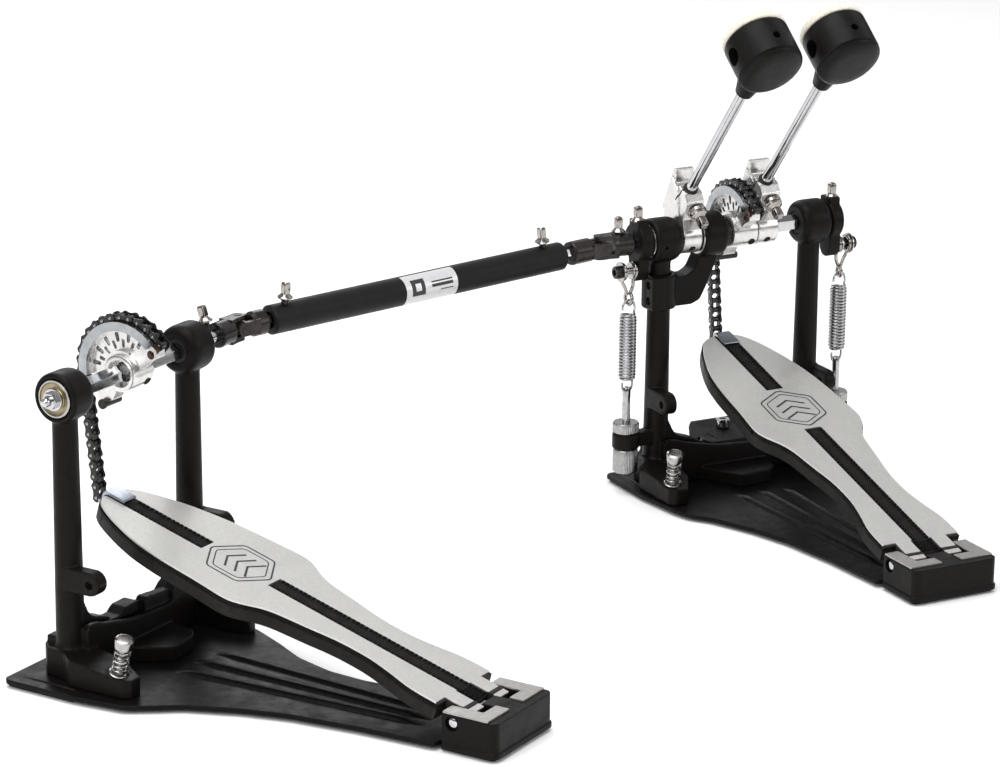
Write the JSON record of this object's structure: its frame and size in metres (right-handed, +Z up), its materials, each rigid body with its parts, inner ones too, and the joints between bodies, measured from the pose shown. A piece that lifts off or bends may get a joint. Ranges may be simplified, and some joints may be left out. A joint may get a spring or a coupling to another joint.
{
  "type": "twin bass drum pedal",
  "caption": "Twin bass drum pedal: a chain-drive pedal with two felt beaters and spring rockers, and a slave pedal that drives one beater through a telescopic shaft with universal joints.",
  "frame": {"origin": "on the floor, under the middle of the primary pedal's axle, at the underside of its rubber underlay", "axes": "+X along the primary axle to the player's right, +Y from the heel towards the drum, +Z up"},
  "size_m": [0.6589, 0.4058, 0.3347],
  "materials": {
    "black_casting": "satin black powder coat",
    "black_steel": "smooth satin black",
    "aluminium": "satin",
    "chrome": "polished",
    "black_rubber": "matt",
    "chain_steel": "dark",
    "bearing_steel": "satin",
    "black_plastic": "satin",
    "white_felt": "felt",
    "black_oxide": "black oxide"
  },
  "bodies": {
    "primary_frame": {"primary_floor_pad": "black_rubber", "primary_base_plate": "black_steel", "primary_frame_casting": "black_casting", "primary_heel_block": "black_casting", "primary_heel_pin": "chrome", "primary_bearing_left": "bearing_steel", "primary_bearing_right": "bearing_steel", "outrigger_arm": "black_casting", "outrigger_bearing": "bearing_steel"},
    "primary_axle": {"primary_shaft": "chrome", "primary_cam": "aluminium", "primary_chain_wrap": "chain_steel", "right_beater_hub": "aluminium", "right_rocker": "black_casting"},
    "secondary_axle": {"secondary_shaft": "black_oxide", "left_beater_hub": "aluminium", "left_rocker": "black_casting"},
    "primary_board": {"primary_footboard": "aluminium", "primary_grip_strip": "black_rubber", "primary_chain_clip": "chrome"},
    "primary_chain": {"primary_chain_drop": "chain_steel"},
    "slave_frame": {"slave_floor_pad": "black_rubber", "slave_base_plate": "black_steel", "slave_frame_casting": "black_casting", "slave_heel_block": "black_casting", "slave_heel_pin": "chrome", "slave_bearing_left": "bearing_steel", "slave_bearing_right": "bearing_steel"},
    "slave_axle": {"slave_shaft": "chrome", "slave_cam": "aluminium", "slave_chain_wrap": "chain_steel"},
    "slave_board": {"slave_footboard": "aluminium", "slave_grip_strip": "black_rubber", "slave_chain_clip": "chrome"},
    "slave_chain": {"slave_chain_drop": "chain_steel"},
    "drive_tube": {"link_tube": "black_oxide", "link_right_rod": "black_oxide"},
    "drive_rod": {"link_left_rod": "black_oxide"},
    "primary_cross": {"primary_joint_cross": "chrome"},
    "slave_cross": {"slave_joint_cross": "chrome"},
    "left_rod": {"left_beater_rod": "chrome"},
    "left_head": {"left_beater_core": "black_plastic", "left_beater_felt": "white_felt"},
    "left_tension_rod": {"left_tension_rod": "chrome"},
    "left_spring": {"left_coil_spring": "chrome"},
    "left_stirrup": {"left_spring_stirrup": "chrome"},
    "left_lock_nut": {"left_lock_nut": "aluminium"},
    "left_tension_nut": {"left_tension_nut": "aluminium"},
    "right_rod": {"right_beater_rod": "chrome"},
    "right_head": {"right_beater_core": "black_plastic", "right_beater_felt": "white_felt"},
    "right_tension_rod": {"right_tension_rod": "chrome"},
    "right_spring": {"right_coil_spring": "chrome"},
    "right_stirrup": {"right_spring_stirrup": "chrome"},
    "right_lock_nut": {"right_lock_nut": "aluminium"},
    "right_tension_nut": {"right_tension_nut": "aluminium"},
    "hoop_jaw": {"hoop_clamp_jaw": "black_casting"},
    "clamp_screw": {"hoop_clamp_screw": "chrome"},
    "primary_spur": {"primary_spur_screw": "chrome"},
    "slave_spur": {"slave_spur_screw": "chrome"}
  },
  "joints": [
    {"name": "primary_axle_turn", "type": "hinge", "parent": "primary_frame", "child": "primary_axle", "pos_m": [0, 0, 0.17], "axis": [-1, 0, 0], "range_deg": [0, 45]},
    {"name": "secondary_axle_turn", "type": "hinge", "parent": "primary_frame", "child": "secondary_axle", "pos_m": [-0.045, 0, 0.17], "axis": [-1, 0, 0], "range_deg": [0, 45]},
    {"name": "primary_board_tilt", "type": "hinge", "parent": "primary_frame", "child": "primary_board", "pos_m": [0, -0.2395, 0.017], "axis": [-1, 0, 0], "range_deg": [0, 5.4]},
    {"name": "primary_chain_swing", "type": "hinge", "parent": "primary_axle", "child": "primary_chain", "pos_m": [0.001, 0.03035, 0.17844], "axis": [-1, 0, 0], "range_deg": [-50.6, 0.2]},
    {"name": "slave_axle_turn", "type": "hinge", "parent": "slave_frame", "child": "slave_axle", "pos_m": [-0.4818, -0.1255, 0.17], "axis": [-0.8601, -0.5101, 0], "range_deg": [0, 45.2]},
    {"name": "slave_board_tilt", "type": "hinge", "parent": "slave_frame", "child": "slave_board", "pos_m": [-0.35963, -0.3315, 0.017], "axis": [-0.8601, -0.5101, 0], "range_deg": [0, 5.4]},
    {"name": "slave_chain_swing", "type": "hinge", "parent": "slave_axle", "child": "slave_chain", "pos_m": [-0.49642, -0.09889, 0.17844], "axis": [-0.8601, -0.5101, 0], "range_deg": [-50.6, 0.2]},
    {"name": "slave_pedal_slide", "type": "slide", "parent": "primary_frame", "child": "slave_frame", "axis": [-0.9711, -0.2387, 0], "range_m": [-0.001, 0.05]},
    {"name": "drive_tube_turn", "type": "hinge", "parent": "primary_frame", "child": "drive_tube", "pos_m": [-0.1025, 0, 0.17], "axis": [-0.9711, -0.2387, 0], "range_deg": [0, 45.2]},
    {"name": "drive_rod_turn", "type": "hinge", "parent": "slave_frame", "child": "drive_rod", "pos_m": [-0.38891, -0.07041, 0.17], "axis": [-0.9711, -0.2387, 0], "range_deg": [0, 45.2]},
    {"name": "primary_cross_turn", "type": "hinge", "parent": "secondary_axle", "child": "primary_cross", "pos_m": [-0.1025, 0, 0.17], "axis": [0, 0, 1], "range_deg": [-4.2, 4.2]},
    {"name": "slave_cross_turn", "type": "hinge", "parent": "slave_axle", "child": "slave_cross", "pos_m": [-0.38891, -0.07041, 0.17], "axis": [0, 0, 1], "range_deg": [-5, 5]},
    {"name": "left_rod_slide", "type": "slide", "parent": "secondary_axle", "child": "left_rod", "axis": [0, -0.628, 0.7782], "range_m": [-0.02, 0.02]},
    {"name": "left_head_turn", "type": "hinge", "parent": "left_rod", "child": "left_head", "pos_m": [-0.0382, 0.01284, 0.18036], "axis": [0, -0.628, 0.7782], "continuous": true},
    {"name": "right_rod_slide", "type": "slide", "parent": "primary_axle", "child": "right_rod", "axis": [0, -0.628, 0.7782], "range_m": [-0.02, 0.02]},
    {"name": "right_head_turn", "type": "hinge", "parent": "right_rod", "child": "right_head", "pos_m": [0.0192, 0.01284, 0.18036], "axis": [0, -0.628, 0.7782], "continuous": true},
    {"name": "left_tension_slide", "type": "slide", "parent": "primary_frame", "child": "left_tension_rod", "axis": [0, 0, 1], "range_m": [-0.0015, 0.0015]},
    {"name": "left_spring_tilt", "type": "hinge", "parent": "left_tension_rod", "child": "left_spring", "pos_m": [-0.0815, -0.002, 0.0728], "axis": [1, 0, 0], "range_deg": [0, 8.2]},
    {"name": "left_spring_stretch", "type": "slide", "parent": "left_spring", "child": "left_stirrup", "axis": [0, 0, 1], "range_m": [0, 0.0077], "deforming": ["left_coil_spring"]},
    {"name": "left_lock_nut_turn", "type": "hinge", "parent": "primary_frame", "child": "left_lock_nut", "pos_m": [-0.0815, -0.002, 0.049], "axis": [0, 0, 1], "continuous": true},
    {"name": "left_tension_nut_turn", "type": "hinge", "parent": "primary_frame", "child": "left_tension_nut", "pos_m": [-0.0815, -0.002, 0.02], "axis": [0, 0, 1], "continuous": true},
    {"name": "right_tension_slide", "type": "slide", "parent": "primary_frame", "child": "right_tension_rod", "axis": [0, 0, 1], "range_m": [-0.0015, 0.0015]},
    {"name": "right_spring_tilt", "type": "hinge", "parent": "right_tension_rod", "child": "right_spring", "pos_m": [0.0815, -0.002, 0.0728], "axis": [1, 0, 0], "range_deg": [0, 8.2]},
    {"name": "right_spring_stretch", "type": "slide", "parent": "right_spring", "child": "right_stirrup", "axis": [0, 0, 1], "range_m": [0, 0.0077], "deforming": ["right_coil_spring"]},
    {"name": "right_lock_nut_turn", "type": "hinge", "parent": "primary_frame", "child": "right_lock_nut", "pos_m": [0.0815, -0.002, 0.049], "axis": [0, 0, 1], "continuous": true},
    {"name": "right_tension_nut_turn", "type": "hinge", "parent": "primary_frame", "child": "right_tension_nut", "pos_m": [0.0815, -0.002, 0.02], "axis": [0, 0, 1], "continuous": true},
    {"name": "hoop_jaw_tilt", "type": "hinge", "parent": "primary_frame", "child": "hoop_jaw", "pos_m": [0.0045, -0.009, 0.022], "axis": [1, 0, 0], "range_deg": [-3, 0.5]},
    {"name": "clamp_screw_travel", "type": "slide", "parent": "primary_frame", "child": "clamp_screw", "axis": [0, 0, 1], "range_m": [-0.00125, 0.00025]},
    {"name": "primary_spur_travel", "type": "slide", "parent": "primary_frame", "child": "primary_spur", "axis": [-0.106, -0.2761, 0.9553], "range_m": [-0.003, 0.008]},
    {"name": "slave_spur_travel", "type": "slide", "parent": "slave_frame", "child": "slave_spur", "axis": [0.0496, -0.2915, 0.9553], "range_m": [-0.003, 0.008]}
  ],
  "couplings": [
    {"joint": "primary_board_tilt", "follows": "primary_axle_turn", "ratio": 0.11744},
    {"joint": "primary_chain_swing", "follows": "primary_axle_turn", "ratio": -1.1147},
    {"joint": "slave_axle_turn", "follows": "secondary_axle_turn", "ratio": 1},
    {"joint": "slave_board_tilt", "follows": "secondary_axle_turn", "ratio": 0.11744},
    {"joint": "slave_chain_swing", "follows": "secondary_axle_turn", "ratio": -1.1147},
    {"joint": "drive_tube_turn", "follows": "secondary_axle_turn", "ratio": 1},
    {"joint": "drive_rod_turn", "follows": "secondary_axle_turn", "ratio": 1},
    {"joint": "primary_cross_turn", "follows": "secondary_axle_turn", "ratio": -0.087782},
    {"joint": "slave_cross_turn", "follows": "secondary_axle_turn", "ratio": 0.10587},
    {"joint": "left_spring_tilt", "follows": "secondary_axle_turn", "ratio": 0.17889},
    {"joint": "left_spring_stretch", "follows": "secondary_axle_turn", "m_per_rad": 0.0096},
    {"joint": "right_spring_tilt", "follows": "primary_axle_turn", "ratio": 0.17889},
    {"joint": "right_spring_stretch", "follows": "primary_axle_turn", "m_per_rad": 0.0096},
    {"joint": "clamp_screw_travel", "follows": "hoop_jaw_tilt", "m_per_rad": 0.023}
  ]
}
